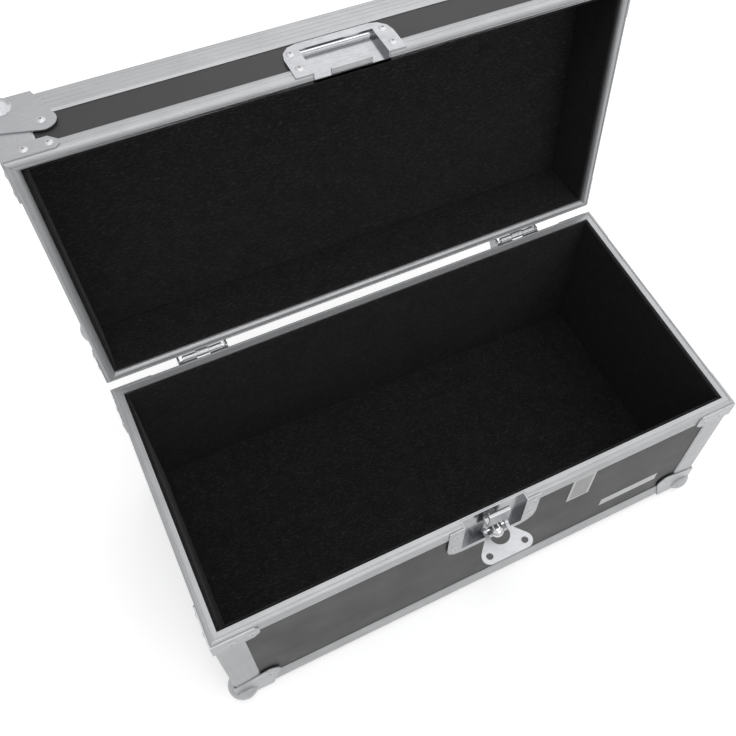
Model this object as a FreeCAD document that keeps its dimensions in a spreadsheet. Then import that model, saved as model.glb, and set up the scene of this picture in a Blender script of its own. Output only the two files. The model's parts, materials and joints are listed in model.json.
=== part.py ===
"""Transport case: an aluminium-edged case with an open hinged lid, built as named sub-parts.

Frame: millimetres, origin on the floor under the middle of the base, +X to the right,
+Y to the hinges, +Z up. The lid is drawn shut and swung open about the hinge axis.
"""
import FreeCAD, Part
import math
import os
import re

import Sketcher

SIZES = {
    # Case over its extrusions
    "case_width": 600, "case_depth": 302, "base_height": 206, "lid_height": 80, "open_angle": 94,
    # Panels and the slots that hold them
    "panel_thick": 7, "slot_play": 0.2, "extrusion_wall": 1.5,
    # Edge extrusion, and the ribs and bevelled end of every flange
    "edge_flange": 30, "edge_lip": 14, "edge_round": 3, "flange_bevel": 2.5, "flange_end": 0.5,
    "rib_first": 6, "rib_pitch": 5.6, "rib_width": 1.6, "rib_depth": 0.3, "rib_margin": 0.5,
    # Rim extrusions
    "base_rim_flange": 19, "lid_rim_flange": 15, "rim_leg": 14, "rim_round": 3,
    # Lining
    "lining_thick": 3.5, "lining_gap": 0.3, "base_lining_drop": 1, "lid_lining_drop": 4,
    # Ball corners
    "ball_radius": 17, "ball_inset": 9, "ball_sheet": 1.5, "ball_edge": 40,
    "ball_lobe": 39, "ball_lobe_radius": 13,
    # Rim corner braces
    "brace_sheet": 1.5, "brace_leg": 46, "base_brace_height": 26, "lid_brace_height": 19,
    "brace_clear": 3, "brace_round": 7, "brace_rivet_near": 18, "brace_rivet_far": 38,
    # Rivets
    "rivet_head": 3.3, "rivet_rise": 1.4, "rivet_shank": 1.6, "rivet_hole": 1.65,
    # Hinges
    "hinge_inset": 102, "hinge_offset": 4.2, "hinge_sheet": 2, "hinge_length": 44,
    "hinge_barrel": 3.5, "hinge_pin": 1.7, "hinge_running": 0.05, "hinge_relief": 2,
    "hinge_base_leaf": 56, "hinge_lid_leaf": 60, "hinge_drop": 42, "hinge_rise": 40,
    "knuckle_gap": 0.4, "stop_reach": 22, "stop_lip": 4, "stop_gap": 0.15,
    "hinge_rivet_side": 16, "hinge_rivet_near": 16, "hinge_rivet_far": 32,
    "pin_head_clear": 0.2, "pin_head_thick": 0.9,
    # Latch dishes
    "dish_width": 106, "dish_drop": 64, "keeper_rise": 46, "dish_corner": 18, "dish_sheet": 1.2,
    "recess_width": 74, "recess_drop": 56, "recess_rise": 38, "recess_depth": 7.3,
    "dish_clear": 0.4, "cut_play": 0.2, "dish_rivet_side": 45,
    "dish_rivet_near": 12, "dish_rivet_far": 44, "keeper_rivet_far": 34,
    # Latch spindle
    "spindle_drop": 28.5, "boss_radius": 7, "boss_proud": 15,
    "shaft_radius": 4, "shaft_head": 6, "shaft_head_thick": 1.2, "running_fit": 0.05, "boss_clear": 0.3,
    # Latch wing and its pin
    "wing_thick": 2, "wing_pin_out": 3.2, "wing_pin_radius": 1.5, "wing_eye": 3.5,
    "wing_notch": 10.6, "wing_notch_out": 10, "wing_arm": 14.5, "wing_arm_length": 6,
    "ear_spread": 41, "ear_out": 26, "ear_radius": 8.5, "ear_hole": 3.6,
    # Latch hook and the keeper that it draws down
    "hook_width": 24, "hook_sheet": 1.2, "hook_seat": 2, "hook_back": 2.4, "hook_tail": 12,
    "hook_step": 18.5, "hook_bar": 2.8, "hook_rise": 8.9, "hook_slot": 7.3,
    "throw_down": 3.5, "throw_in": 4.7,
    "keeper_width": 40, "keeper_sheet": 1.8, "keeper_lift": 0.5, "keeper_out": 0.6,
    # Carrying handle on the lid
    "handle_plate_width": 128, "handle_plate_height": 64, "handle_sheet": 1.4,
    "handle_corner": 8, "handle_rivet_side": 55, "handle_rivet_rise": 25,
    "handle_axis_rise": 22, "handle_axis_out": 11, "lug_radius": 6, "lug_inner": 33, "lug_outer": 42,
    "bail_rod": 3.5, "bail_drop": 42, "bail_bend": 7, "bail_proud": 1, "lug_gap": 1,
    "grip_radius": 9, "grip_half": 38, "grip_round": 2.5, "grip_play": 0.05,
    # Feet
    "foot_height": 12, "foot_radius": 16, "foot_inset": 62, "foot_bore": 2.6,
    "foot_sink": 5, "foot_sink_radius": 6, "screw_head": 5, "screw_head_thick": 2.5, "screw_shank": 2.5,
    # Blank badge and label on the front panel
    "badge_left": 97.5, "badge_width": 29, "badge_gap": 0.5, "badge_height": 54,
    "label_inset": 63, "label_width": 80, "label_top": 126, "label_height": 16, "label_thick": 0.4,
}

# Lengths that follow from the sizes
DERIVED = {
    "half_width": "case_width / 2",
    "half_depth": "case_depth / 2",
    "rim_z": "foot_height + base_height",
    "lid_top": "rim_z + lid_height",
    "slot": "panel_thick + slot_play",
    "slot_in": "extrusion_wall + slot",
    "frame": "2 * extrusion_wall + slot",
    "panel_out": "extrusion_wall + slot_play / 2",
    "panel_end": "frame + slot_play / 2",
    "bevel_fall": "extrusion_wall - flange_end",
    "lining_out": "frame + lining_gap",
    "lining_in": "lining_out + lining_thick",
    "base_panel_top": "rim_z - extrusion_wall - slot_play / 2",
    "lid_panel_foot": "rim_z + extrusion_wall + slot_play / 2",
    "hinge_y": "half_depth + hinge_offset",
    "hinge_x": "half_width - hinge_inset",
    "leaf_face": "hinge_offset - hinge_sheet",
    "leaf_relief": "hinge_barrel + hinge_relief",
    "pin_head": "leaf_face - pin_head_clear",
    "knuckle": "hinge_length / 3",
    "spindle_z": "rim_z - spindle_drop",
    "hook_out": "throw_in + hook_seat",
    "handle_face": "lid_top - panel_out",
    "bail_half": "lug_outer + lug_gap + bail_bend",
    "bail_end": "lug_inner - bail_proud",
    "badge_top": "base_rim_flange + badge_gap",
    "label_left": "half_width - label_inset - label_width",
}

SIDES = {
    "front": ("0", "case_width", "0", "-half_depth"),
    "right": ("90", "case_depth", "half_width", "0"),
    "back": ("180", "case_width", "0", "half_depth"),
    "left": ("270", "case_depth", "-half_width", "0"),
}
CORNERS = {
    "front_left": ("0", "-half_width", "-half_depth"),
    "front_right": ("90", "half_width", "-half_depth"),
    "back_right": ("180", "half_width", "half_depth"),
    "back_left": ("270", "-half_width", "half_depth"),
}
QUARTER_TURNS = (0, 30, 60, 90)
DIAGONAL = FreeCAD.Vector(1, 1, 1)

DOC = FreeCAD.newDocument("transport_case")
SHEET = DOC.addObject("Spreadsheet::Sheet", "Sizes")
NODES = {}


def fill_sheet():
    """Write every driving size into the sheet under its alias."""
    for row, (alias, value) in enumerate(SIZES.items(), start=1):
        SHEET.set(f"A{row}", alias)
        SHEET.set(f"B{row}", str(value))
        SHEET.setAlias(f"B{row}", alias)
    DOC.recompute()


def expr(text):
    """Return an expression on the sheet, with derived names written out."""
    def swap(match):
        word = match.group(0)
        if word in DERIVED:
            return f"({expr(DERIVED[word])})"
        return f"Sizes.{word}" if word in SIZES else word
    return re.sub(r"[a-z_]+", swap, text)


def num(text):
    """Return the present value of an expression."""
    return float(SHEET.evalExpression(expr(text)))


def at(x="0", y="0", z="0", turn="0", axis="0; 0; 1"):
    """Return one placement step: a turn about an axis through the origin, then a shift."""
    return expr(f"placement(vector({x}; {y}; {z}); rotation(vector({axis}); {turn}))")


def place(item, *steps):
    """Bind an object's Placement to the product of its steps, outermost first."""
    item.setExpression("Placement", " * ".join(steps))


def keep(label, item):
    """Name an object as a sub-part to be written out."""
    item.Label = label
    NODES[label] = item
    return item


SHUT = ()
OPEN = (at(y="hinge_y", z="rim_z", turn="-open_angle", axis="1; 0; 0"), at(y="-hinge_y", z="-rim_z"))
HALVES = {"base": SHUT, "lid": OPEN}


class Blank:
    """A PartDesign body whose sketches are dimensioned from the sheet."""

    def __init__(self, name):
        self.body = DOC.addObject("PartDesign::Body", name)

    def sketch(self, plane, outlines=(), circles=(), lift="0"):
        """Draw closed outlines of (x, y) corners and (x, y, radius) circles on an origin plane."""
        drawing = self.body.newObject("Sketcher::SketchObject", "Sketch")
        base = next(o for o in self.body.Origin.OriginFeatures if o.Role == plane + "_Plane")
        drawing.AttachmentSupport = (base, [""])
        drawing.MapMode = "FlatFace"
        drawing.setExpression("AttachmentOffset.Base.z", expr(lift))
        rules = []
        for outline in outlines:
            rules += self._outline(drawing, outline)
        for x, y, radius in circles:
            centre = FreeCAD.Vector(num(x), num(y), 0)
            index = drawing.addGeometry(Part.Circle(centre, FreeCAD.Vector(0, 0, 1), num(radius)), False)
            rules += self._fix(index, 3, x, y)
            rules.append((Sketcher.Constraint("Radius", index, num(radius)), radius))
        drawing.addConstraint([rule for rule, _ in rules])
        for number, (_, text) in enumerate(rules):
            if text is not None:
                drawing.setExpression(f"Constraints[{number}]", expr(text))
        return drawing

    def _outline(self, drawing, outline):
        """Draw one closed outline and return its constraints, each with its expression if it has one."""
        corners = [FreeCAD.Vector(num(x), num(y), 0) for x, y in outline]
        first = drawing.GeometryCount
        count = len(corners)
        rules = []
        for i, (x, y) in enumerate(outline):
            drawing.addGeometry(Part.LineSegment(corners[i], corners[(i + 1) % count]), False)
            rules.append((Sketcher.Constraint("Coincident", first + i, 2, first + (i + 1) % count, 1), None))
            rules += self._fix(first + i, 1, x, y)
        return rules

    @staticmethod
    def _fix(index, point, x, y):
        """Return the two constraints that hold a point at its place from the sketch's origin."""
        return [(Sketcher.Constraint(kind, -1, 1, index, point, num(text)), text)
                for kind, text in (("DistanceX", x), ("DistanceY", y))]

    def _feature(self, kind, drawing, length, both, back):
        feature = self.body.newObject("PartDesign::" + kind, kind)
        feature.Profile = drawing
        if length is None:
            feature.Type = "ThroughAll"
        else:
            feature.setExpression("Length", expr(length))
        feature.Midplane = both
        feature.Reversed = back
        drawing.Visibility = False
        return self

    def pad(self, plane, outlines=(), circles=(), length="0", both=False, back=False, lift="0"):
        """Add material over a sketch."""
        return self._feature("Pad", self.sketch(plane, outlines, circles, lift), length, both, back)

    def cut(self, plane, outlines=(), circles=(), length=None, both=False, back=False, lift="0"):
        """Take material away under a sketch, right through if no length is given."""
        return self._feature("Pocket", self.sketch(plane, outlines, circles, lift), length, both, back)

    def turn(self, outline, axis="Y"):
        """Add a solid of revolution about an origin axis, from an outline on the XY plane."""
        feature = self.body.newObject("PartDesign::Revolution", "Revolution")
        feature.Profile = self.sketch("XY", [outline])
        line = next(o for o in self.body.Origin.OriginFeatures if o.Role == axis + "_Axis")
        feature.ReferenceAxis = (line, [""])
        feature.Angle = 360
        return self


def box(x_low, x_high, y_low, y_high):
    """Return the outline of a rectangle."""
    return [(x_low, y_low), (x_high, y_low), (x_high, y_high), (x_low, y_high)]


def slab(name, x_span, y_span, z_span, steps=SHUT):
    """Return a plain box between named limits."""
    item = DOC.addObject("Part::Box", name)
    for side, (low, high) in zip(("Length", "Width", "Height"), (x_span, y_span, z_span)):
        item.setExpression(side, expr(f"({high}) - ({low})"))
    place(item, *steps, at(x_span[0], y_span[0], z_span[0]))
    return item


def group(label, items):
    """Keep several alike solids as one sub-part."""
    compound = DOC.addObject("Part::Compound", label)
    compound.Links = items
    return keep(label, compound)


def rounded(radius):
    """Return the (run, rise) points of a quarter round, from one face of a square corner to the other."""
    return [(f"{radius} * (1 - sin({a}))", f"{radius} * (1 - cos({a}))") for a in QUARTER_TURNS]


def ribbed(flange):
    """Return the (position, depth) steps of the ribs that fit on an extrusion's flange."""
    room = num(f"{flange} - flange_bevel - rib_first - rib_width - rib_margin")
    steps = []
    for i in range(1 + math.floor(room / num("rib_pitch"))):
        start = f"rib_first + {i} * rib_pitch"
        end = f"{start} + rib_width"
        steps += [(start, "0"), (start, "rib_depth"), (end, "rib_depth"), (end, "0")]
    return steps


def edge_profile(sign, ribs):
    """Return the edge extrusion's section: two flanges, a corner tube and two inner lips."""
    lip = "frame + edge_lip"
    outline = rounded("edge_round")[::-1] + ribs
    outline += [("edge_flange - flange_bevel", "0"), ("edge_flange", "bevel_fall"),
                ("edge_flange", "extrusion_wall"), ("frame", "extrusion_wall"),
                ("frame", "slot_in"), (lip, "slot_in"), (lip, "frame"), ("frame", "frame"),
                ("frame", lip), ("slot_in", lip), ("slot_in", "frame"), ("extrusion_wall", "frame"),
                ("extrusion_wall", "edge_flange"), ("bevel_fall", "edge_flange"),
                ("0", "edge_flange - flange_bevel")]
    outline += [(depth, along) for along, depth in reversed(ribs)]
    tube = box("extrusion_wall", "slot_in", "extrusion_wall", "slot_in")
    return [[(p, f"{sign}({q})") for p, q in loop] for loop in (outline, tube)]


def rim_profile(flange, sign):
    """Return a rim extrusion's section: a round-edged channel over the panel."""
    outline = rounded("rim_round") + [(depth, along) for along, depth in ribbed(flange)]
    outline += [("0", f"{flange} - flange_bevel"), ("bevel_fall", flange), ("extrusion_wall", flange),
                ("extrusion_wall", "extrusion_wall"), ("slot_in", "extrusion_wall"),
                ("slot_in", "rim_leg"), ("frame", "rim_leg"), ("frame", "0")]
    return [[(deep, f"{sign}({along})") for deep, along in outline]]


def extrusion(label, profile, side, z, steps, notch=None):
    """Make one mitred length of extrusion along a side, with an optional cut for the latch."""
    turn, length, x, y = SIDES[side]
    end, tip = f"{length} / 2", f"{length} / 2 - edge_flange"
    blank = Blank(label).pad("YZ", profile, length=length, both=True)
    mitres = [[(end, "0"), (end, "edge_flange"), (tip, "edge_flange")],
              [(f"-({end})", "0"), (f"-({tip})", "edge_flange"), (f"-({end})", "edge_flange")]]
    blank.cut("XY", mitres, both=True)
    if notch:
        half = "recess_width / 2 + cut_play"
        blank.cut("XY", [box(f"-({half})", half, "-rim_round", "slot_in")], both=True)
    place(blank.body, *steps, at(x, y, z, turn))
    return keep(label, blank.body)


def make_frames():
    """Make the edge extrusions, the corner posts and the rim extrusions of both halves."""
    ribs, plain = ribbed("edge_flange"), []
    for half, steps in HALVES.items():
        sign, inward, corner_z = ("", "-", "foot_height") if half == "base" else ("-", "", "lid_top")
        rim = rim_profile(f"{half}_rim_flange", inward)
        for side in SIDES:
            extrusion(f"{half}_edge_{side}", edge_profile(sign, ribs), side, corner_z, steps)
            extrusion(f"{half}_rim_{side}", rim, side, "rim_z", steps, notch=side == "front")
        low, high = {"base": ("foot_height + edge_flange", "rim_z - base_rim_flange"),
                     "lid": ("rim_z + lid_rim_flange", "lid_top - edge_flange")}[half]
        posts = []
        for corner, (turn, x, y) in CORNERS.items():
            post = Blank(f"{half}_post_{corner}")
            post.pad("XY", edge_profile("", plain), length=f"{high} - ({low})")
            place(post.body, *steps, at(x, y, low, turn))
            posts.append(post.body)
        group(f"{half}_corner_posts", posts)


def front_panel(label, low, high, cut_low, cut_high, steps):
    """Make a front panel with the opening that takes its half of the latch dish."""
    wide, half = "half_width - panel_end", "recess_width / 2 + cut_play"
    blank = Blank(label).pad("XZ", [box(f"-({wide})", wide, low, high)], length="panel_thick", back=True)
    blank.cut("XZ", [box(f"-({half})", half, cut_low, cut_high)], both=True)
    place(blank.body, *steps, at(y="-half_depth + panel_out"))
    keep(label, blank.body)


def make_panels():
    """Make the five panels of each half."""
    spans = {"base": ("foot_height + panel_end", "base_panel_top"),
             "lid": ("lid_panel_foot", "lid_top - panel_end")}
    floor = "foot_height + panel_out"
    flats = {"base": ("base_bottom_panel", floor, f"{floor} + panel_thick"),
             "lid": ("lid_top_panel", "lid_top - panel_out - panel_thick", "lid_top - panel_out")}
    wide, deep = "half_width - panel_end", "half_depth - panel_end"
    out_x, out_y = "half_width - panel_out", "half_depth - panel_out"
    for half, steps in HALVES.items():
        z_span = spans[half]
        label, low, high = flats[half]
        keep(label, slab(label, (f"-({wide})", wide), (f"-({deep})", deep), (low, high), steps))
        keep(f"{half}_back_panel", slab(f"{half}_back_panel", (f"-({wide})", wide),
                                        (f"{out_y} - panel_thick", out_y), z_span, steps))
        keep(f"{half}_left_panel", slab(f"{half}_left_panel", (f"-({out_x})", f"-({out_x}) + panel_thick"),
                                        (f"-({deep})", deep), z_span, steps))
        keep(f"{half}_right_panel", slab(f"{half}_right_panel", (f"{out_x} - panel_thick", out_x),
                                         (f"-({deep})", deep), z_span, steps))
    front_panel("base_front_panel", *spans["base"], "rim_z - recess_drop - cut_play", "rim_z", SHUT)
    front_panel("lid_front_panel", *spans["lid"], "rim_z", "rim_z + recess_rise + cut_play", OPEN)


def make_linings():
    """Make the soft lining sheets inside both halves."""
    out_x, out_y = "half_width - lining_out", "half_depth - lining_out"
    in_x, in_y = "half_width - lining_in", "half_depth - lining_in"
    flats = {"base": ("base_floor_lining", "foot_height + lining_out", "foot_height + lining_in"),
             "lid": ("lid_top_lining", "lid_top - lining_in", "lid_top - lining_out")}
    walls = {"base": ("foot_height + lining_in + lining_gap", "rim_z - base_lining_drop"),
             "lid": ("rim_z + lid_lining_drop", "lid_top - lining_in - lining_gap")}
    for half, steps in HALVES.items():
        label, low, high = flats[half]
        keep(label, slab(label, (f"-({out_x})", out_x), (f"-({out_y})", out_y), (low, high), steps))
        z_span = walls[half]
        end = f"{in_y} - lining_gap"
        long, short = (f"-({out_x})", out_x), (f"-({end})", end)
        group(f"{half}_wall_lining", [
            slab(f"{half}_lining_front", long, (f"-({out_y})", f"-({in_y})"), z_span, steps),
            slab(f"{half}_lining_back", long, (in_y, out_y), z_span, steps),
            slab(f"{half}_lining_left", (f"-({out_x})", f"-({in_x})"), short, z_span, steps),
            slab(f"{half}_lining_right", (in_x, out_x), short, z_span, steps)])


def ball_corner_shape():
    """Return one ball corner over a box corner at the origin that opens to +X, +Y and +Z."""
    sheet, edge, lobe, lobe_radius = (num(f"ball_{n}") for n in ("sheet", "edge", "lobe", "lobe_radius"))
    tip = lobe + lobe_radius
    flat = [(-sheet, -sheet), (edge, -sheet), (tip, lobe), (lobe, tip), (-sheet, edge)]
    corners = [FreeCAD.Vector(x, y, -sheet) for x, y in flat]
    rise = FreeCAD.Vector(0, 0, sheet)
    middle = FreeCAD.Vector(lobe, lobe, -sheet)
    plate = Part.Face(Part.makePolygon(corners + corners[:1])).extrude(rise)
    plate = plate.fuse(Part.makeCylinder(lobe_radius, sheet, middle))
    plate = plate.cut(Part.makeCylinder(num("rivet_hole"), sheet, middle))
    inset = num("ball_inset")
    ball = Part.makeSphere(num("ball_radius"), FreeCAD.Vector(inset, inset, inset))
    plates = [plate.copy() for _ in range(3)]
    for i, item in enumerate(plates):
        item.rotate(FreeCAD.Vector(), DIAGONAL, 120 * i)
    reach = inset + 2 * num("ball_radius")
    return ball.fuse(plates).cut(Part.makeBox(reach, reach, reach)).removeSplitter()


def make_ball_corners():
    """Make the ball corners of both halves."""
    shape = ball_corner_shape()
    for half, steps in HALVES.items():
        corners = []
        for corner, (turn, x, y) in CORNERS.items():
            item = DOC.addObject("Part::Feature", f"{half}_ball_{corner}")
            item.Shape = shape
            if half == "base":
                place(item, at(x, y, "foot_height", turn))
            else:
                place(item, *steps, at(x, y, "lid_top", f"{turn} + 90"), at(turn="180", axis="1; 0; 0"))
            corners.append(item)
        group(f"{half}_ball_corners", corners)


def make_braces():
    """Make the folded braces at the rim corners of both halves."""
    for half, steps in HALVES.items():
        sign = "-" if half == "base" else ""
        near, far = "brace_clear", f"{half}_brace_height"
        face = [("-brace_sheet", near), ("brace_leg - brace_round / 2", near),
                ("brace_leg", f"{near} + brace_round / 2"), ("brace_leg", f"{far} - brace_round"),
                ("brace_leg - brace_round", far), ("-brace_sheet", far)]
        face = [(along, f"{sign}({out})") for along, out in face]
        holes = [(name, f"{sign}({near} + {far}) / 2", "rivet_hole")
                 for name in ("brace_rivet_near", "brace_rivet_far")]
        braces = []
        for corner, (turn, x, y) in CORNERS.items():
            brace = Blank(f"{half}_brace_{corner}")
            brace.pad("XZ", [face], holes, length="brace_sheet")
            brace.pad("YZ", [face], holes, length="brace_sheet", back=True)
            place(brace.body, *steps, at(x, y, "rim_z", turn))
            braces.append(brace.body)
        group(f"{half}_rim_braces", braces)


def make_hinges():
    """Make the two stop hinges: a base leaf with stop ears, a lid leaf and a pin each."""
    split, gap = "knuckle / 2", "knuckle_gap / 2"
    outer = "hinge_length / 2"
    bore = [("0", "0", "hinge_pin + hinge_running")]
    stop_in = "(leaf_face - stop_gap - leaf_face * cos(open_angle)) / sin(open_angle)"
    stop_out = "(leaf_face - stop_gap + stop_reach * cos(open_angle)) / sin(open_angle)"
    ear = [("-leaf_face", "-hinge_drop + stop_lip"), ("stop_reach", f"{stop_out} - stop_lip"),
           ("stop_reach", stop_out), ("-leaf_face", stop_in)]
    pins = []
    for side, sign in (("left", "-"), ("right", "")):
        hub = at(f"{sign}hinge_x", "hinge_y", "rim_z")
        leaf = Blank(f"hinge_{side}_base_leaf")
        leaf.pad("XZ", [box("-hinge_base_leaf / 2", "hinge_base_leaf / 2", "-hinge_drop", "0")],
                 [(f"{s}hinge_rivet_side", f"-{z}", "rivet_hole")
                  for s in ("", "-") for z in ("hinge_rivet_near", "hinge_rivet_far")],
                 length="hinge_sheet", lift="leaf_face")
        leaf.pad("YZ", circles=[("0", "0", "hinge_barrel")], length="hinge_length", both=True)
        leaf.cut("YZ", [box("-2 * hinge_offset", "2 * hinge_offset", "-leaf_relief", "leaf_relief")],
                 length=f"2 * ({split} + {gap})", both=True)
        leaf.pad("YZ", [ear], length="hinge_sheet", lift="hinge_base_leaf / 2 - hinge_sheet")
        leaf.pad("YZ", [ear], length="hinge_sheet", back=True, lift="-hinge_base_leaf / 2 + hinge_sheet")
        leaf.cut("YZ", circles=bore, both=True)
        place(leaf.body, hub)
        keep(f"hinge_{side}_base_leaf", leaf.body)

        leaf = Blank(f"hinge_{side}_lid_leaf")
        leaf.pad("XZ", [box("-hinge_lid_leaf / 2", "hinge_lid_leaf / 2", "0", "hinge_rise")],
                 [(f"{s}hinge_rivet_side", z, "rivet_hole")
                  for s in ("", "-") for z in ("hinge_rivet_near", "hinge_rivet_far")],
                 length="hinge_sheet", lift="leaf_face")
        leaf.pad("YZ", circles=[("0", "0", "hinge_barrel")], length=f"2 * ({split} - {gap})", both=True)
        start = f"{split} - {gap}"
        for back in (False, True):
            leaf.cut("YZ", [box("-2 * hinge_offset", "2 * hinge_offset", "-leaf_relief", "leaf_relief")],
                     length=f"hinge_lid_leaf / 2 - ({start})", back=not back,
                     lift=f"-({start})" if back else start)
        leaf.cut("YZ", circles=bore, both=True)
        place(leaf.body, *OPEN, hub)
        keep(f"hinge_{side}_lid_leaf", leaf.body)

        pin = Blank(f"hinge_{side}_pin")
        pin.pad("YZ", circles=[("0", "0", "hinge_pin")], length="hinge_length", both=True)
        for back in (False, True):
            pin.pad("YZ", circles=[("0", "0", "pin_head")], length="pin_head_thick", back=back,
                    lift=f"-({outer})" if back else outer)
        place(pin.body, hub)
        pins.append(pin.body)
    group("hinge_pins", pins)


def dish(label, sign, height, recess, rivets, steps, spindle=False):
    """Make one pressed half of the latch dish: a flange round a recess that is open at the rim."""
    half, mouth = "dish_width / 2", "recess_width / 2"
    wall = f"{mouth} - dish_sheet"
    corner = [(f"{half} - {run}", f"{height} - {rise}") for run, rise in rounded("dish_corner")[::-1]]
    right = [(half, "dish_clear")] + corner
    plate = right + [(f"-({x})", z) for x, z in reversed(right)]

    def flip(outline):
        return [(x, f"{sign}({z})") for x, z in outline]

    holes = [(f"{s}dish_rivet_side", f"{sign}{z}", "rivet_hole") for s in ("", "-") for z in rivets]
    blank = Blank(label).pad("XZ", [flip(plate)], holes, length="dish_sheet")
    blank.pad("XZ", [flip(box(f"-({mouth})", mouth, "dish_clear", recess))],
              length="recess_depth + dish_sheet", back=True)
    blank.cut("XZ", [flip(box(f"-({wall})", wall, "0", f"{recess} - dish_sheet"))],
              length="recess_depth + dish_sheet", lift="dish_sheet")
    if spindle:
        blank.cut("XZ", circles=[("0", "-spindle_drop", "shaft_radius + running_fit")], both=True)
    place(blank.body, *steps, at(y="-half_depth", z="rim_z"))
    keep(label, blank.body)


def make_latch():
    """Make the butterfly latch: two dishes, spindle, wing, wing pin, hook and keeper."""
    dish("latch_dish", "-", "dish_drop", "recess_drop", ("dish_rivet_near", "dish_rivet_far"), SHUT,
         spindle=True)
    dish("keeper_dish", "", "keeper_rise", "recess_rise", ("dish_rivet_near", "keeper_rivet_far"), OPEN)

    hub = at(y="-half_depth", z="spindle_z")
    back = "recess_depth + dish_sheet + running_fit"
    dome = [(f"boss_radius - {run}", f"-boss_proud + {rise}") for run, rise in rounded("boss_radius")]
    spindle = Blank("latch_spindle").turn(dome + [
        ("boss_radius", "recess_depth - boss_clear"), ("shaft_radius", "recess_depth - boss_clear"),
        ("shaft_radius", back), ("shaft_head", back),
        ("shaft_head", f"{back} + shaft_head_thick"), ("0", f"{back} + shaft_head_thick")])
    spindle.cut("YZ", circles=[("-wing_pin_out", "0", "wing_pin_radius + running_fit")], both=True)
    place(spindle.body, hub)
    keep("latch_spindle", spindle.body)

    pivot = at(y="-half_depth - wing_pin_out", z="spindle_z")
    slope = "ear_radius * sqrt(2) / 2"
    ear_x, edge = "ear_spread / 2", "-ear_out - ear_radius"
    right = [("wing_arm", "0"), ("wing_arm", "-wing_arm_length"),
             (f"{ear_x} + {slope}", f"-ear_out + {slope}"), (ear_x, edge)]
    plate = right + [(f"-({x})", y) for x, y in reversed(right)]
    ears = [(f"{s}({ear_x})", "-ear_out") for s in ("", "-")]
    wing = Blank("latch_wing").pad("XY", [plate], length="wing_thick", both=True)
    for ear in ears:
        wing.pad("XY", circles=[(*ear, "ear_radius")], length="wing_thick", both=True)
    wing.pad("YZ", circles=[("0", "0", "wing_eye")], length="2 * wing_arm", both=True)
    wing.cut("XY", [box("-wing_notch", "wing_notch", "-wing_notch_out", "2 * wing_eye")], both=True)
    wing.cut("XY", circles=[("0", "-wing_notch_out", "wing_notch")], both=True)
    wing.cut("XY", circles=[(*ear, "ear_hole") for ear in ears], both=True)
    wing.cut("YZ", circles=[("0", "0", "wing_pin_radius + running_fit")], both=True)
    place(wing.body, pivot)
    keep("latch_wing", wing.body)

    pin = Blank("latch_wing_pin")
    pin.pad("YZ", circles=[("0", "0", "wing_pin_radius")], length="2 * wing_arm", both=True)
    place(pin.body, pivot)
    keep("latch_wing_pin", pin.body)

    top = "spindle_drop + hook_rise"
    inner, outer = "hook_back - hook_sheet", "-hook_out + hook_sheet"
    strip = [("hook_back", "-hook_tail"), ("hook_back", "hook_step + hook_sheet"),
             (outer, "hook_step + hook_sheet"), (outer, top), ("-hook_out", top),
             ("-hook_out", "hook_step"), (inner, "hook_step"), (inner, "-hook_tail")]
    hook = Blank("latch_hook").pad("YZ", [strip], length="hook_width", both=True)
    hook.pad("YZ", circles=[("-hook_out + hook_bar", top, "hook_bar")], length="hook_width", both=True)
    hook.cut("XZ", [box("-hook_slot", "hook_slot", "0", "throw_down")],
             length="2 * hook_back", both=True, lift="-hook_back")
    for z in ("0", "throw_down"):
        hook.cut("XZ", circles=[("0", z, "hook_slot")], length="2 * hook_back", both=True, lift="-hook_back")
    place(hook.body, hub)
    keep("latch_hook", hook.body)

    keep("latch_keeper", slab("latch_keeper", ("-keeper_width / 2", "keeper_width / 2"),
                              ("-half_depth - keeper_out", "-half_depth + recess_depth"),
                              ("rim_z + keeper_lift", "rim_z + keeper_lift + keeper_sheet"), OPEN))


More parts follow.
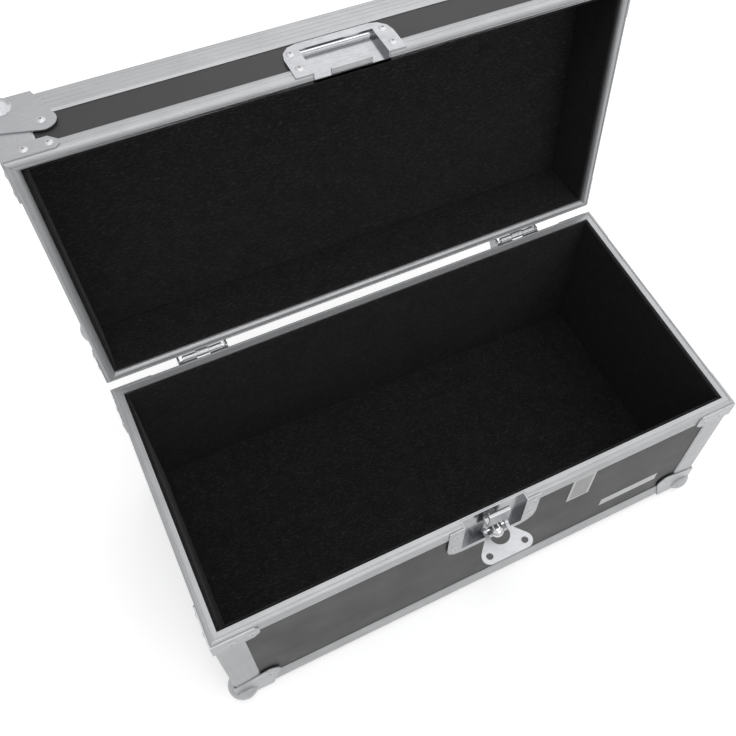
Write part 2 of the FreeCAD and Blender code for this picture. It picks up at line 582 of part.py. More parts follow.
def make_handle():
    """Make the drop handle on the lid: plate with lugs, bent bail and rubber grip."""
    half_w, half_h = "handle_plate_width / 2", "handle_plate_height / 2"
    cut_w, cut_h = f"{half_w} - handle_corner", f"{half_h} - handle_corner"
    top = [(half_w, cut_h), (cut_w, half_h), (f"-({cut_w})", half_h), (f"-({half_w})", cut_h)]
    outline = top + [(y, f"-({z})") for y, z in reversed(top)]
    holes = [(f"{a}handle_rivet_side", f"{b}handle_rivet_rise", "rivet_hole")
             for a in ("", "-") for b in ("", "-")]
    lug_x = "handle_sheet + handle_axis_out"
    lug_span = ("handle_axis_rise - lug_radius", "handle_axis_rise + lug_radius")
    # The plate is drawn upright, facing +X, and laid on the lid with its upper edge to the front
    seat = (*OPEN, at(z="handle_face"), at(turn="90"), at(turn="-90", axis="0; 1; 0"))
    hung = at(lug_x, z="handle_axis_rise", turn="90 - open_angle", axis="0; 1; 0")

    plate = Blank("handle_plate").pad("YZ", [outline], holes, length="handle_sheet")
    for sign in ("", "-"):
        lug = {"length": "lug_outer - lug_inner", "lift": "lug_inner" if sign else "-lug_outer",
               "back": bool(sign)}
        plate.pad("XZ", [box("handle_sheet / 2", lug_x, *lug_span)], **lug)
        plate.pad("XZ", circles=[(lug_x, "handle_axis_rise", "lug_radius")], **lug)
    plate.cut("XZ", circles=[(lug_x, "handle_axis_rise", "bail_rod + running_fit")], both=True)
    place(plate.body, *seat)
    keep("handle_plate", plate.body)

    bail = DOC.addObject("Part::Feature", "handle_bail")
    bail.Shape = bail_shape()
    place(bail, *seat, hung)
    keep("handle_bail", bail)

    grip = Blank("handle_grip").turn([
        ("bail_rod + grip_play", "-grip_half"), ("grip_radius - grip_round", "-grip_half"),
        ("grip_radius", "-grip_half + grip_round"), ("grip_radius", "grip_half - grip_round"),
        ("grip_radius - grip_round", "grip_half"), ("bail_rod + grip_play", "grip_half")])
    place(grip.body, *seat, hung, at(z="-bail_drop"))
    keep("handle_grip", grip.body)


def bail_shape():
    """Return the bail: a rod bent from one lug, round under the grip, to the other lug."""
    half, drop, bend, end, rod = (num(f"bail_{n}") for n in ("half", "drop", "bend", "end", "rod"))
    soft = bend * (1 - math.sqrt(2) / 2)

    def spot(y, z):
        return FreeCAD.Vector(0, y, z)

    def arc(*spots):
        return Part.Arc(*spots).toShape()

    path = [
        Part.makeLine(spot(end, 0), spot(half - bend, 0)),
        arc(spot(half - bend, 0), spot(half - soft, -soft), spot(half, -bend)),
        Part.makeLine(spot(half, -bend), spot(half, bend - drop)),
        arc(spot(half, bend - drop), spot(half - soft, soft - drop), spot(half - bend, -drop)),
        Part.makeLine(spot(half - bend, -drop), spot(bend - half, -drop)),
        arc(spot(bend - half, -drop), spot(soft - half, soft - drop), spot(-half, bend - drop)),
        Part.makeLine(spot(-half, bend - drop), spot(-half, -bend)),
        arc(spot(-half, -bend), spot(soft - half, -soft), spot(bend - half, 0)),
        Part.makeLine(spot(bend - half, 0), spot(-end, 0)),
    ]
    ring = Part.Wire(Part.makeCircle(rod, spot(end, 0), FreeCAD.Vector(0, 1, 0)))
    return Part.Wire(path).makePipeShell([ring], True, False)


def make_feet():
    """Make the rubber feet and the screws that hold them."""
    feet, screws = [], []
    top = "foot_height + panel_out"
    for corner, (turn, x, y) in CORNERS.items():
        foot = Blank(f"foot_{corner}").pad("XY", circles=[("0", "0", "foot_radius")], length=top)
        foot.cut("XY", circles=[("0", "0", "foot_bore")], both=True)
        foot.cut("XY", circles=[("0", "0", "foot_sink_radius")], length="foot_sink", back=True)
        spot = at(x, y, "0", turn), at("foot_inset", "foot_inset")
        place(foot.body, *spot)
        feet.append(foot.body)
        screw = Blank(f"foot_screw_{corner}").pad("XY", circles=[("0", "0", "screw_head")],
                                                   length="screw_head_thick", back=True, lift="foot_sink")
        screw.pad("XY", circles=[("0", "0", "screw_shank")], length=f"{top} - foot_sink", lift="foot_sink")
        place(screw.body, *spot)
        screws.append(screw.body)
    group("rubber_feet", feet)
    group("foot_screws", screws)


def make_labels():
    """Make the blank badge and the blank label on the front panel."""
    face = ("-half_depth + panel_out - label_thick", "-half_depth + panel_out")
    for name in ("badge", "label"):
        keep(f"front_{name}", slab(f"front_{name}", (f"{name}_left", f"{name}_left + {name}_width"), face,
                                   (f"rim_z - {name}_top - {name}_height", f"rim_z - {name}_top")))


def rivet_shape(grip):
    """Return a rivet with its head on the XY plane, facing +Z, and a shank through a sheet."""
    head, rise, shank, deep = (num(n) for n in ("rivet_head", "rivet_rise", "rivet_shank", grip))

    def spot(r, z):
        return FreeCAD.Vector(r, 0, z)

    crown = (head * head + rise * rise) / (2 * rise)
    half = math.asin(head / crown) / 2
    shoulder = spot(crown * math.sin(half), rise - crown * (1 - math.cos(half)))
    dome = Part.Arc(spot(head, 0), shoulder, spot(0, rise))
    rest = Part.makePolygon(
        [spot(0, rise), spot(0, -deep), spot(shank, -deep), spot(shank, 0), spot(head, 0)])
    outline = Part.Wire([dome.toShape()] + rest.Edges)
    return Part.Face(outline).revolve(FreeCAD.Vector(), FreeCAD.Vector(0, 0, 1), 360)


FACING = {
    "front": ((1, 0, 0), 90), "back": ((1, 0, 0), -90), "left": ((0, 1, 0), -90),
    "right": ((0, 1, 0), 90), "down": ((1, 0, 0), 180), "up": ((1, 0, 0), 0),
}


def rivet_at(facing, grip, x, y, z):
    """Return a rivet with its head's seat at a named spot on an outer face."""
    axis, turn = FACING[facing]
    rivet = rivet_shape(grip)
    seat = FreeCAD.Vector(num(x), num(y), num(z))
    rivet.Placement = FreeCAD.Placement(seat, FreeCAD.Rotation(FreeCAD.Vector(*axis), turn))
    return rivet


def corner_rivets(half):
    """Return the rivets of the braces and the ball corners of one half, drawn shut."""
    rivets = []
    sign, low, flat = ("-", "foot_height", "down") if half == "base" else ("+", "lid_top", "up")
    inward = "+" if half == "base" else "-"
    brace_z = f"rim_z {sign} ({half}_brace_height + brace_clear) / 2"
    ball_z, flat_z = f"{low} {inward} ball_lobe", f"{low} {sign} ball_sheet"
    for sx, end in (("-", "left"), ("", "right")):
        for sy, face in (("-", "front"), ("", "back")):
            brace_x, brace_y = f"{sx}(half_width + brace_sheet)", f"{sy}(half_depth + brace_sheet)"
            for along in ("brace_rivet_near", "brace_rivet_far"):
                rivets.append(rivet_at(face, "brace_sheet", f"{sx}(half_width - {along})", brace_y, brace_z))
                rivets.append(rivet_at(end, "brace_sheet", brace_x, f"{sy}(half_depth - {along})", brace_z))
            lobe_x, lobe_y = f"{sx}(half_width - ball_lobe)", f"{sy}(half_depth - ball_lobe)"
            rivets.append(rivet_at(face, "ball_sheet", lobe_x, f"{sy}(half_depth + ball_sheet)", ball_z))
            rivets.append(rivet_at(end, "ball_sheet", f"{sx}(half_width + ball_sheet)", lobe_y, ball_z))
            rivets.append(rivet_at(flat, "ball_sheet", lobe_x, lobe_y, flat_z))
    return rivets


def fitting_rivets(half):
    """Return the rivets of the dish, the hinge leaves and the handle plate of one half, drawn shut."""
    rivets = []
    sign = "-" if half == "base" else "+"
    far = "dish_rivet_far" if half == "base" else "keeper_rivet_far"
    for s in ("", "-"):
        for z in ("dish_rivet_near", far):
            rivets.append(rivet_at("front", "dish_sheet", f"{s}dish_rivet_side",
                                   "-half_depth - dish_sheet", f"rim_z {sign} {z}"))
        for hinge in ("-", ""):
            for z in ("hinge_rivet_near", "hinge_rivet_far"):
                rivets.append(rivet_at("back", "hinge_sheet", f"{hinge}hinge_x + {s}hinge_rivet_side",
                                       "half_depth + hinge_sheet", f"rim_z {sign} {z}"))
        if half == "lid":
            for b in ("", "-"):
                rivets.append(rivet_at("up", "handle_sheet", f"{s}handle_rivet_side",
                                       f"{b}handle_rivet_rise", "handle_face + handle_sheet"))
    return rivets


def make_rivets():
    """Make the rivets of each half as one group of separate solids."""
    for half, steps in HALVES.items():
        item = DOC.addObject("Part::Feature", f"{half}_rivets")
        item.Shape = Part.makeCompound(corner_rivets(half) + fitting_rivets(half))
        if steps:
            place(item, *steps)
        keep(f"{half}_rivets", item)


def check():
    """Stop if any object failed to compute or any sub-part has no valid shape."""
    for item in DOC.Objects:
        if "Invalid" in item.State or "Error" in item.State:
            raise RuntimeError(f"{item.Label} failed: {item.State}")
    for label, item in NODES.items():
        if item.Shape.isNull() or not item.Shape.isValid() or not item.Shape.Solids:
            raise RuntimeError(f"{label} has no valid shape")


def write_parts():
    """Write each sub-part to its own STEP file."""
    os.makedirs("parts", exist_ok=True)
    for label, item in NODES.items():
        item.Shape.exportStep(f"parts/{label}.step")
    print(f"{len(NODES)} sub-parts written")


fill_sheet()
make_frames()
make_panels()
make_linings()
make_ball_corners()
make_braces()
make_hinges()
make_latch()
make_handle()
make_feet()
make_labels()
make_rivets()
DOC.recompute()
check()
write_parts()
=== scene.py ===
"""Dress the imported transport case: its finishes, eased fittings, fleece lining and a plain studio."""
from __future__ import annotations

import json
import logging
import math
from dataclasses import dataclass, field
from enum import Enum

import bmesh
import bpy
from mathutils import Euler, Matrix, Vector, noise

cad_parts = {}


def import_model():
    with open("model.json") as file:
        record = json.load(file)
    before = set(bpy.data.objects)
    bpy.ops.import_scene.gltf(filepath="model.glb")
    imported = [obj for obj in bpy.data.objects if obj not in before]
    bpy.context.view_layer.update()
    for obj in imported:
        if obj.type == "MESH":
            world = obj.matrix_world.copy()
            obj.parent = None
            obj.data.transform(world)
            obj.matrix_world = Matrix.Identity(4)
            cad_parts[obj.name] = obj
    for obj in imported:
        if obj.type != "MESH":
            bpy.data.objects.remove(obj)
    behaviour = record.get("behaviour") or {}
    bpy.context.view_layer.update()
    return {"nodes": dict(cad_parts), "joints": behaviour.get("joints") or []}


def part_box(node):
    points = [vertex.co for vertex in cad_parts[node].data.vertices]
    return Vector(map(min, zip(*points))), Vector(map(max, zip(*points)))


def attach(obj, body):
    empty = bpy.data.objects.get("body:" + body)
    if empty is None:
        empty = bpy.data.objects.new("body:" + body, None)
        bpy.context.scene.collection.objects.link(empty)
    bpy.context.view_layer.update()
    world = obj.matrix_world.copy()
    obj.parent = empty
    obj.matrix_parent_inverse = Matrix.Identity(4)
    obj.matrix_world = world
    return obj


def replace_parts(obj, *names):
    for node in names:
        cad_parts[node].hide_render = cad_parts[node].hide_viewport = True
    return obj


LOG = logging.getLogger("transport_case")
MM = 0.001
PHOTO_SIDE = 736  # The photograph's side, in pixels
SNAP = 0.002 * MM  # Points closer than this are one point
TOUCH = 0.05 * MM  # A point this close to a level lies on it
FLAT_DEG = 0.4  # Faces that turn less than this are one face
CREASE_DEG = 28.0  # Edges that turn more than this are creases
THROUGH = 1.1  # An edge up to this many sheet thicknesses long runs through the sheet
WAVE = (1.0, 2.0, 3)  # Fall, step and octaves of the fleece's waves
# Input and output numbers of a Mix node that mixes colours
MIX_FACTOR, MIX_A, MIX_B, MIX_OUT = 0, 6, 7, 2


class Half(Enum):
    """The two halves of the case, named as their bodies."""

    BASE = "base"
    LID = "lid"


class Side(Enum):
    """The two hinges, named as their nodes are."""

    LEFT = "left"
    RIGHT = "right"


class Grain(Enum):
    """The way that drawn lines run on a metal piece."""

    LENGTH = (1, 0, 0)
    DEPTH = (0, 1, 0)
    HEIGHT = (0, 0, 1)


# The CAD nodes by name, and for each half the turn that brings it to the shut case
Nodes = dict[str, bpy.types.Object]
Turns = dict[Half, Matrix]


def linear(code: str) -> tuple[float, float, float, float]:
    """Turn an sRGB hex colour into the linear colour that a shader takes.

    Args:
        code: A hash sign and six hex digits.

    Returns:
        Linear red, green and blue, and a full alpha.
    """
    shares = [int(code[i:i + 2], 16) / 255 for i in (1, 3, 5)]
    red, green, blue = (s / 12.92 if s <= 0.04045 else ((s + 0.055) / 1.055) ** 2.4 for s in shares)
    return red, green, blue, 1.0


def add_node(tree: bpy.types.NodeTree, kind: str, values: dict | None = None,
             links: dict | None = None, **settings: object) -> bpy.types.Node:
    """Add one node with its settings, its input values and the links into it.

    Args:
        tree: The node tree that takes the node.
        kind: The node's type.
        values: Input values by the input's name or number.
        links: Outputs to join, by the input's name or number.
        **settings: Properties of the node itself.

    Returns:
        The new node.
    """
    node = tree.nodes.new(kind)
    for name, value in settings.items():
        setattr(node, name, value)
    for name, value in (values or {}).items():
        node.inputs[name].default_value = value
    for name, socket in (links or {}).items():
        tree.links.new(socket, node.inputs[name])
    return node


def new_material(name: str) -> tuple[bpy.types.Material, bpy.types.NodeTree, bpy.types.NodeSocket]:
    """Start a material that has only Object coordinates and an output.

    Args:
        name: The material's name.

    Returns:
        The material, its tree and the Object coordinate socket.
    """
    material = bpy.data.materials.new(name)
    material.use_nodes = True
    tree = material.node_tree
    tree.nodes.clear()
    add_node(tree, "ShaderNodeOutputMaterial")
    return material, tree, add_node(tree, "ShaderNodeTexCoord").outputs["Object"]


def close_material(tree: bpy.types.NodeTree, shader: bpy.types.Node) -> None:
    """Join a shader to the tree's output node."""
    out = next(n for n in tree.nodes if n.bl_idname == "ShaderNodeOutputMaterial")
    tree.links.new(shader.outputs[0], out.inputs["Surface"])


@dataclass(frozen=True)
class DrawnMetal:
    """A metal surface: drawn or rolled lines along its grain, and a cloud of handling over them."""

    name: str
    light: str
    dark: str
    roughness: float
    line_mm: float
    line_length_mm: float
    cloud_mm: float
    bump_mm: float
    metallic: float = 1.0
    grain: Grain = Grain.LENGTH
    spread: float = 0.05
    tones: tuple[float, float] = (0.36, 0.64)
    bump: float = 0.3

    def build(self) -> bpy.types.Material:
        """Return the metal's material. The lines are drawn coarser than real ones, so that they show."""
        material, tree, place = new_material(f"{self.name}_{self.grain.name.lower()}")
        stretch = [1 / (MM * (self.line_length_mm if along else self.line_mm)) for along in self.grain.value]
        turned = add_node(tree, "ShaderNodeMapping", {"Scale": stretch}, {"Vector": place})
        lines = add_node(tree, "ShaderNodeTexNoise", {"Scale": 1.0, "Detail": 2.0},
                         {"Vector": turned.outputs[0]})
        cloud = add_node(tree, "ShaderNodeTexNoise",
                         {"Scale": 1 / (MM * self.cloud_mm), "Detail": 5.0, "Roughness": 0.6},
                         {"Vector": place})
        half = add_node(tree, "ShaderNodeMath", {1: 0.5}, {0: lines.outputs["Fac"]}, operation="MULTIPLY")
        both = add_node(tree, "ShaderNodeMath", {1: 0.5},
                        {0: cloud.outputs["Fac"], 2: half.outputs[0]}, operation="MULTIPLY_ADD")
        share = add_node(tree, "ShaderNodeMapRange", {"From Min": self.tones[0], "From Max": self.tones[1]},
                         {"Value": both.outputs[0]})
        tint = add_node(tree, "ShaderNodeMix", {MIX_A: linear(self.dark), MIX_B: linear(self.light)},
                        {MIX_FACTOR: share.outputs[0]}, data_type="RGBA")
        rough = add_node(tree, "ShaderNodeMapRange",
                         {"To Min": self.roughness + self.spread, "To Max": self.roughness - self.spread},
                         {"Value": share.outputs[0]})
        bump = add_node(tree, "ShaderNodeBump", {"Strength": self.bump, "Distance": MM * self.bump_mm},
                        {"Height": lines.outputs["Fac"]})
        shader = add_node(tree, "ShaderNodeBsdfPrincipled", {"Metallic": self.metallic},
                          {"Base Color": tint.outputs[MIX_OUT], "Roughness": rough.outputs[0],
                           "Normal": bump.outputs[0]})
        close_material(tree, shader)
        return material


@dataclass(frozen=True)
class PebbledFilm:
    """A plastic or rubber skin: a pebble grain in relief, two close tones and a few long scuffs."""

    name: str
    light: str
    dark: str
    scuff: str
    roughness: float
    pebble_mm: float
    relief_mm: float
    cloud_mm: float
    scuff_mm: float
    scuff_share: float
    scuff_stretch: float = 7.0
    scuff_turn: tuple[float, float, float] = (0.3, 0.5, 0.2)
    scuff_tones: tuple[float, float] = (0.62, 0.74)
    tones: tuple[float, float] = (0.34, 0.66)
    smoothness: float = 0.6
    spread: float = 0.06
    bump: float = 0.5
    specular: float = 0.5

    def build(self) -> bpy.types.Material:
        """Return the skin's material."""
        material, tree, place = new_material(self.name)
        pebble = add_node(tree, "ShaderNodeTexVoronoi",
                          {"Scale": 1 / (MM * self.pebble_mm), "Smoothness": self.smoothness},
                          {"Vector": place}, feature="SMOOTH_F1")
        cloud = add_node(tree, "ShaderNodeTexNoise",
                         {"Scale": 1 / (MM * self.cloud_mm), "Detail": 5.0, "Roughness": 0.65},
                         {"Vector": place})
        share = add_node(tree, "ShaderNodeMapRange", {"From Min": self.tones[0], "From Max": self.tones[1]},
                         {"Value": cloud.outputs["Fac"]})
        tint = add_node(tree, "ShaderNodeMix", {MIX_A: linear(self.dark), MIX_B: linear(self.light)},
                        {MIX_FACTOR: share.outputs[0]}, data_type="RGBA")
        step = 1 / (MM * self.scuff_mm)
        slanted = add_node(tree, "ShaderNodeMapping",
                           {"Scale": (step, step, step * self.scuff_stretch), "Rotation": self.scuff_turn},
                           {"Vector": place})
        marks = add_node(tree, "ShaderNodeTexNoise", {"Scale": 1.0, "Detail": 7.0, "Roughness": 0.7},
                         {"Vector": slanted.outputs[0]})
        few = add_node(tree, "ShaderNodeMapRange",
                       {"From Min": self.scuff_tones[0], "From Max": self.scuff_tones[1],
                        "To Max": self.scuff_share},
                       {"Value": marks.outputs["Fac"]})
        worn = add_node(tree, "ShaderNodeMix", {MIX_B: linear(self.scuff)},
                        {MIX_FACTOR: few.outputs[0], MIX_A: tint.outputs[MIX_OUT]}, data_type="RGBA")
        rough = add_node(tree, "ShaderNodeMapRange",
                         {"To Min": self.roughness - self.spread, "To Max": self.roughness + self.spread},
                         {"Value": share.outputs[0]})
        bump = add_node(tree, "ShaderNodeBump", {"Strength": self.bump, "Distance": MM * self.relief_mm},
                        {"Height": pebble.outputs["Distance"]})
        shader = add_node(tree, "ShaderNodeBsdfPrincipled", {"Specular IOR Level": self.specular},
                          {"Base Color": worn.outputs[MIX_OUT], "Roughness": rough.outputs[0],
                           "Normal": bump.outputs[0]})
        close_material(tree, shader)
        return material


@dataclass(frozen=True)
class NeedledFleece:
    """A needled fleece: short fibres that cross at random, thick and thin patches, and a dry soft face."""

    name: str = "black_needled_fleece"
    light: str = "#454546"
    dark: str = "#131314"
    fibre_mm: float = 1.1
    fibre_length_mm: float = 4.5
    patch_mm: float = 18.0
    patch_share: float = 0.3
    relief_mm: float = 0.5
    bump: float = 0.7
    roughness: float = 0.95
    specular: float = 0.1
    sheen: float = 0.06
    sheen_roughness: float = 0.5
    turns_deg: tuple[float, float] = (24.0, -38.0)
    tangle: float = 0.6
    fleck_tones: tuple[float, float] = (0.58, 0.76)

    def build(self) -> bpy.types.Material:
        """Return the fleece's material. The fibres are drawn coarser than real ones, so that they show."""
        material, tree, place = new_material(self.name)
        across = [1 / (MM * size) for size in (self.fibre_length_mm, self.fibre_mm, self.fibre_mm)]
        layers = []
        for turn in self.turns_deg:
            turned = add_node(tree, "ShaderNodeMapping",
                              {"Rotation": [math.radians(turn)] * 3, "Scale": across}, {"Vector": place})
            layers.append(add_node(tree, "ShaderNodeTexNoise",
                                   {"Scale": 1.0, "Detail": 2.0, "Distortion": self.tangle},
                                   {"Vector": turned.outputs[0]}))
        fibres = add_node(tree, "ShaderNodeMath", {},
                          {0: layers[0].outputs["Fac"], 1: layers[1].outputs["Fac"]}, operation="MAXIMUM")
        patch = add_node(tree, "ShaderNodeTexNoise",
                         {"Scale": 1 / (MM * self.patch_mm), "Detail": 6.0, "Roughness": 0.65},
                         {"Vector": place})
        flecks = add_node(tree, "ShaderNodeMapRange",
                          {"From Min": self.fleck_tones[0], "From Max": self.fleck_tones[1],
                           "To Max": 1 - self.patch_share},
                          {"Value": fibres.outputs[0]})
        share = add_node(tree, "ShaderNodeMath", {1: self.patch_share},
                         {0: patch.outputs["Fac"], 2: flecks.outputs[0]}, operation="MULTIPLY_ADD")
        tint = add_node(tree, "ShaderNodeMix", {MIX_A: linear(self.dark), MIX_B: linear(self.light)},
                        {MIX_FACTOR: share.outputs[0]}, data_type="RGBA")
        bump = add_node(tree, "ShaderNodeBump", {"Strength": self.bump, "Distance": MM * self.relief_mm},
                        {"Height": fibres.outputs[0]})
        shader = add_node(tree, "ShaderNodeBsdfPrincipled",
                          {"Roughness": self.roughness, "Specular IOR Level": self.specular,
                           "Sheen Weight": self.sheen, "Sheen Roughness": self.sheen_roughness},
                          {"Base Color": tint.outputs[MIX_OUT], "Normal": bump.outputs[0]})
        close_material(tree, shader)
        return material


class Wardrobe:
    """Every finish on the case, each built once."""

    def __init__(self) -> None:
        """Build the finishes that don't depend on a piece's grain."""
        # Extruded aluminium, satin anodised: pale, even and half matt, with die lines along each length
        self.extrusion = {
            grain: DrawnMetal("satin_anodised_aluminium", "#b5b6b8", "#a9aaac", roughness=0.38,
                              line_mm=0.7, line_length_mm=90, cloud_mm=40, bump_mm=0.015, metallic=0.4,
                              grain=grain).build()
            for grain in Grain}
        # Pressed steel, bright zinc plate: smooth and a little cloudy, with short rolling lines
        self.zinc = DrawnMetal("bright_zinc_plated_steel", "#b0b1b3", "#a3a4a7", roughness=0.34,
                               line_mm=0.8, line_length_mm=9, cloud_mm=16, bump_mm=0.006,
                               metallic=0.85).build()
        # The same plate, clearer where the press has drawn it into the dishes, and darker there as painted
        # shade for their recesses
        self.dish_zinc_darkened_as_shade = DrawnMetal("zinc_plated_steel_darkened_as_dish_shade", "#a3a4a7", "#929396", roughness=0.18,
                                         line_mm=0.8, line_length_mm=9, cloud_mm=16, bump_mm=0.006).build()
        # Turned and stamped steel, nickel plate: clear reflections, lightly rubbed
        self.nickel = DrawnMetal("polished_nickel_plated_steel", "#d6d6d8", "#c6c7c9", roughness=0.2,
                                 line_mm=0.6, line_length_mm=5, cloud_mm=12, bump_mm=0.004).build()
        # Tumbled blind rivets, nickel plate: paler and softer than the sheet that they hold
        self.satin_nickel = DrawnMetal("tumbled_nickel_plated_steel", "#c6c6c8", "#bbbbbd", roughness=0.44,
                                       line_mm=0.7, line_length_mm=2, cloud_mm=9, bump_mm=0.008,
                                       metallic=0.7).build()
        # Laminated plywood, grey film: a fine pebble that breaks up the light, a few pale scuffs
        self.laminate = PebbledFilm("grey_pebbled_laminate_on_plywood", "#373738", "#313132", "#5e5e5f",
                                    roughness=0.5, pebble_mm=1.1, relief_mm=0.05, cloud_mm=70, scuff_mm=60,
                                    scuff_share=0.18, specular=0.33).build()
        # Carbon-black rubber, moulded: dull, with a spark-eroded grain
        self.rubber = PebbledFilm("black_moulded_rubber", "#242425", "#191919", "#3c3c3d",
                                  roughness=0.66, pebble_mm=0.8, relief_mm=0.05, cloud_mm=18, scuff_mm=9,
                                  scuff_share=0.3).build()
        # Polyester film, satin silver: nearly white and smooth, blank
        self.film = PebbledFilm("satin_silver_label_film", "#cfcfd1", "#c2c2c4", "#aeaeb0",
                                roughness=0.36, pebble_mm=0.9, relief_mm=0.004, cloud_mm=22, scuff_mm=14,
                                scuff_share=0.25).build()
        # Screen ink on the film: a matt field of mid grey
        self.ink = PebbledFilm("grey_screen_ink", "#aeaeaf", "#a0a0a1", "#c4c4c5",
                               roughness=0.52, pebble_mm=0.7, relief_mm=0.004, cloud_mm=9, scuff_mm=6,
                               scuff_share=0.3).build()
        # Polyester fleece, needled: light-eating black with a few grey fibres
        self.fleece = NeedledFleece().build()


def merged(mesh: bpy.types.Mesh) -> bmesh.types.BMesh:
    """Return a bmesh copy of a CAD mesh, with its loose triangles joined."""
    shape = bmesh.new()
    shape.from_mesh(mesh)
    bmesh.ops.remove_doubles(shape, verts=shape.verts, dist=SNAP)
    return shape


def islands(mesh: bpy.types.Mesh, shut: Matrix) -> list[tuple[Vector, Vector]]:
    """Find the box of each loose solid in a CAD mesh.

    Args:
        mesh: The CAD node's mesh, which isn't changed.
        shut: The turn that brings the piece to the shut case, where it lies square.

    Returns:
        The lowest and the highest corner of each solid.
    """
    shape = merged(mesh)
    shape.transform(shut)
    left, boxes = set(shape.verts), []
    while left:
        reach, spots = [left.pop()], []
        while reach:
            vert = reach.pop()
            spots.append(vert.co.copy())
            linked = {edge.other_vert(vert) for edge in vert.link_edges} & left
            left -= linked
            reach.extend(linked)
        boxes.append((Vector(map(min, zip(*spots))), Vector(map(max, zip(*spots)))))
    shape.free()
    return sorted(boxes, key=lambda pair: tuple(pair[0]))


def round_edges(shape: bmesh.types.BMesh, edges: list[bmesh.types.BMEdge], size_mm: float,
                segments: int) -> None:
    """Round some edges over.

    Args:
        shape: The piece.
        edges: Its edges to round.
        size_mm: How far the round reaches from each edge.
        segments: The faces across the round.
    """
    bmesh.ops.bevel(shape, geom=edges, offset=MM * size_mm, offset_type="OFFSET", segments=segments,
                    profile=0.5, affect="EDGES", clamp_overlap=True, material=-1)


def spin_outline(shape: bmesh.types.BMesh, outline: list[tuple[float, float]], segments: int, seat: Matrix,
                 closed: bool = False) -> None:
    """Add a turned solid to a bmesh.

    Args:
        shape: The bmesh that takes it.
        outline: Its (radius, height) points, in metres.
        segments: The faces round it.
        seat: Its place, with its axis along +Z.
        closed: Whether the outline is a loop, as that of a sleeve is.
    """
    before = set(shape.verts)
    verts = [shape.verts.new((radius, 0, height)) for radius, height in outline]
    edges = [shape.edges.new(pair) for pair in zip(verts, verts[1:] + verts[:1] if closed else verts[1:])]
    bmesh.ops.spin(shape, geom=verts + edges, cent=(0, 0, 0), axis=(0, 0, 1), angle=math.tau,
                   steps=segments, use_merge=True)
    bmesh.ops.remove_doubles(shape, verts=[v for v in shape.verts if v not in before], dist=SNAP)
    new = [v for v in shape.verts if v not in before]
    bmesh.ops.recalc_face_normals(shape, faces=list({f for v in new for f in v.link_faces}))
    bmesh.ops.transform(shape, matrix=seat, verts=new)


def add_piece(name: str, shape: bmesh.types.BMesh, materials: list[bpy.types.Material], body: str,
              sharp_deg: float = 36.0) -> bpy.types.Object:
    """Turn a bmesh into a smooth-shaded piece that rides on a body.

    Args:
        name: The piece's name.
        shape: The bmesh, which is freed.
        materials: The materials by face index.
        body: The body that the piece moves with.
        sharp_deg: Edges that turn more than this stay crisp.

    Returns:
        The piece.
    """
    mesh = bpy.data.meshes.new(name)
    for face in shape.faces:
        face.smooth = True
    shape.to_mesh(mesh)
    shape.free()
    mesh.set_sharp_from_angle(angle=math.radians(sharp_deg))
    for material in materials:
        mesh.materials.append(material)
    piece = bpy.data.objects.new(name, mesh)
    bpy.context.scene.collection.objects.link(piece)
    level = piece.modifiers.new("flat_faces_stay_flat", "WEIGHTED_NORMAL")
    level.keep_sharp = True
    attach(piece, body)
    LOG.info("%s: %d faces on %s", name, len(mesh.polygons), body)
    return piece


@dataclass
class EasedFitting:
    """A fitting as the CAD has it, with its outline's corners rounded and its sharp edges eased."""

    node: str
    body: str
    slot: str
    edge_mm: float
    corner_mm: float = 0.0
    sheet_mm: float = 0.0
    segments: int = 2
    corner_segments: int = 5

    def build(self, mesh: bpy.types.Mesh, material: bpy.types.Material) -> bpy.types.Object:
        """Copy the CAD mesh, merge it and ease it.

        Args:
            mesh: The CAD node's mesh.
            material: The finish.

        Returns:
            The piece that stands for the node.
        """
        shape = merged(mesh)
        flat = math.radians(FLAT_DEG)
        bmesh.ops.dissolve_limit(shape, angle_limit=flat, verts=shape.verts, edges=shape.edges)
        if self.corner_mm:
            short = [e for e in self._creases(shape) if e.calc_length() < THROUGH * MM * self.sheet_mm]
            round_edges(shape, short, self.corner_mm, self.corner_segments)
        self._form(shape)
        round_edges(shape, self._creases(shape), self.edge_mm, self.segments)
        piece = add_piece(f"{self.node}_eased", shape, [material], self.body)
        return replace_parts(piece, self.node)

    def _form(self, shape: bmesh.types.BMesh) -> None:
        """Cut what a fitting has besides its CAD form, which is nothing on most of them."""

    @staticmethod
    def _creases(shape: bmesh.types.BMesh) -> list[bmesh.types.BMEdge]:
        """Return the outward edges that turn sharply."""
        crease = math.radians(CREASE_DEG)
        return [e for e in shape.edges if e.is_manifold and e.is_convex and e.calc_face_angle() > crease]


